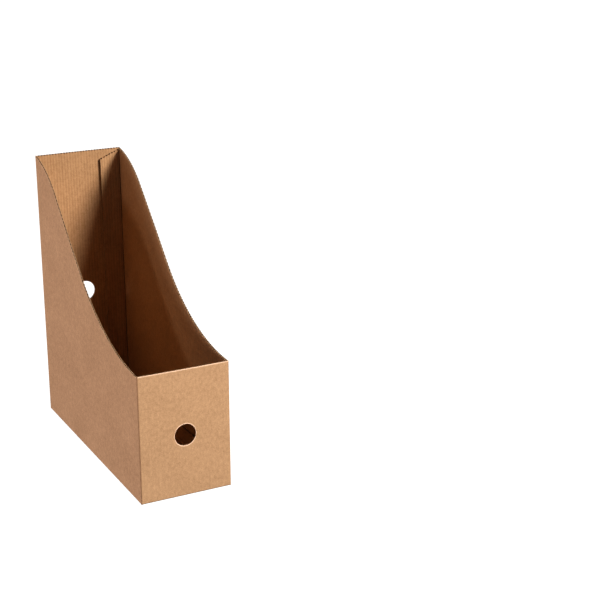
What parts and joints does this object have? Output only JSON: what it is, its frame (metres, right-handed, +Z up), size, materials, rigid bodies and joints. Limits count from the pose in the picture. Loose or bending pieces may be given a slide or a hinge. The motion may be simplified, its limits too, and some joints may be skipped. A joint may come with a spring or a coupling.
{
  "type": "magazine file holder",
  "caption": "Tall open magazine file holder folded from corrugated kraft board, with flowing cut-down sides, a low front and round finger holes front and back; folds flat.",
  "frame": {"origin": "middle of the underside", "axes": "+Z up, the low front panel with its finger hole faces -Y, +X to the holder's right as seen from the front"},
  "size_m": [0.1, 0.29, 0.304],
  "materials": {
    "kraft_outside": "matt kraft paper",
    "kraft_inside": "matt kraft paper",
    "fluting_paper": "matt recycled paper"
  },
  "bodies": {
    "front_panel": {"front_outer_liner": "kraft_outside", "front_fluting": "fluting_paper", "front_inner_liner": "kraft_inside"},
    "left_side": {"left_outer_liner": "kraft_outside", "left_fluting": "fluting_paper", "left_inner_liner": "kraft_inside"},
    "back_panel": {"back_outer_liner": "kraft_outside", "back_fluting": "fluting_paper", "back_inner_liner": "kraft_inside", "glue_flap_outer_liner": "kraft_outside", "glue_flap_fluting": "fluting_paper", "glue_flap_inner_liner": "kraft_inside"},
    "right_side": {"right_outer_liner": "kraft_outside", "right_fluting": "fluting_paper", "right_inner_liner": "kraft_inside"},
    "floor_panel": {"floor_outer_liner": "kraft_outside", "floor_fluting": "fluting_paper", "floor_inner_liner": "kraft_inside"},
    "tuck_flap": {"tuck_flap_outer_liner": "kraft_outside", "tuck_flap_fluting": "fluting_paper", "tuck_flap_inner_liner": "kraft_inside"},
    "front_dust_flap": {"front_dust_flap_outer_liner": "kraft_outside", "front_dust_flap_fluting": "fluting_paper", "front_dust_flap_inner_liner": "kraft_inside"},
    "back_dust_flap": {"back_dust_flap_outer_liner": "kraft_outside", "back_dust_flap_fluting": "fluting_paper", "back_dust_flap_inner_liner": "kraft_inside"}
  },
  "joints": [
    {"name": "fold_flat", "type": "hinge", "parent": "front_panel", "child": "left_side", "pos_m": [-0.0484, -0.1418, 0.15], "axis": [0, 0, -1], "range_deg": [0, 86]},
    {"name": "back_crease", "type": "hinge", "parent": "left_side", "child": "back_panel", "pos_m": [-0.05, 0.145, 0.15], "axis": [0, 0, 1], "range_deg": [0, 86]},
    {"name": "right_crease", "type": "hinge", "parent": "front_panel", "child": "right_side", "pos_m": [0.05, -0.145, 0.15], "axis": [0, 0, -1], "range_deg": [0, 86]},
    {"name": "floor_crease", "type": "hinge", "parent": "left_side", "child": "floor_panel", "pos_m": [-0.05, 0, 0], "axis": [0, 1, 0], "range_deg": [0, 86]},
    {"name": "tuck_crease", "type": "hinge", "parent": "floor_panel", "child": "tuck_flap", "pos_m": [0.0463, 0, 0.0016], "axis": [0, -1, 0], "range_deg": [0, 86]},
    {"name": "front_dust_crease", "type": "hinge", "parent": "front_panel", "child": "front_dust_flap", "pos_m": [0, -0.1434, 0.0034], "axis": [1, 0, 0], "range_deg": [0, 86]},
    {"name": "back_dust_crease", "type": "hinge", "parent": "back_panel", "child": "back_dust_flap", "pos_m": [0, 0.1434, 0.0034], "axis": [-1, 0, 0], "range_deg": [0, 86]}
  ],
  "couplings": [
    {"joint": "back_crease", "follows": "fold_flat", "ratio": 1},
    {"joint": "right_crease", "follows": "fold_flat", "ratio": 1},
    {"joint": "floor_crease", "follows": "fold_flat", "ratio": 1},
    {"joint": "tuck_crease", "follows": "fold_flat", "ratio": 1},
    {"joint": "front_dust_crease", "follows": "fold_flat", "ratio": 1},
    {"joint": "back_dust_crease", "follows": "fold_flat", "ratio": 1}
  ]
}
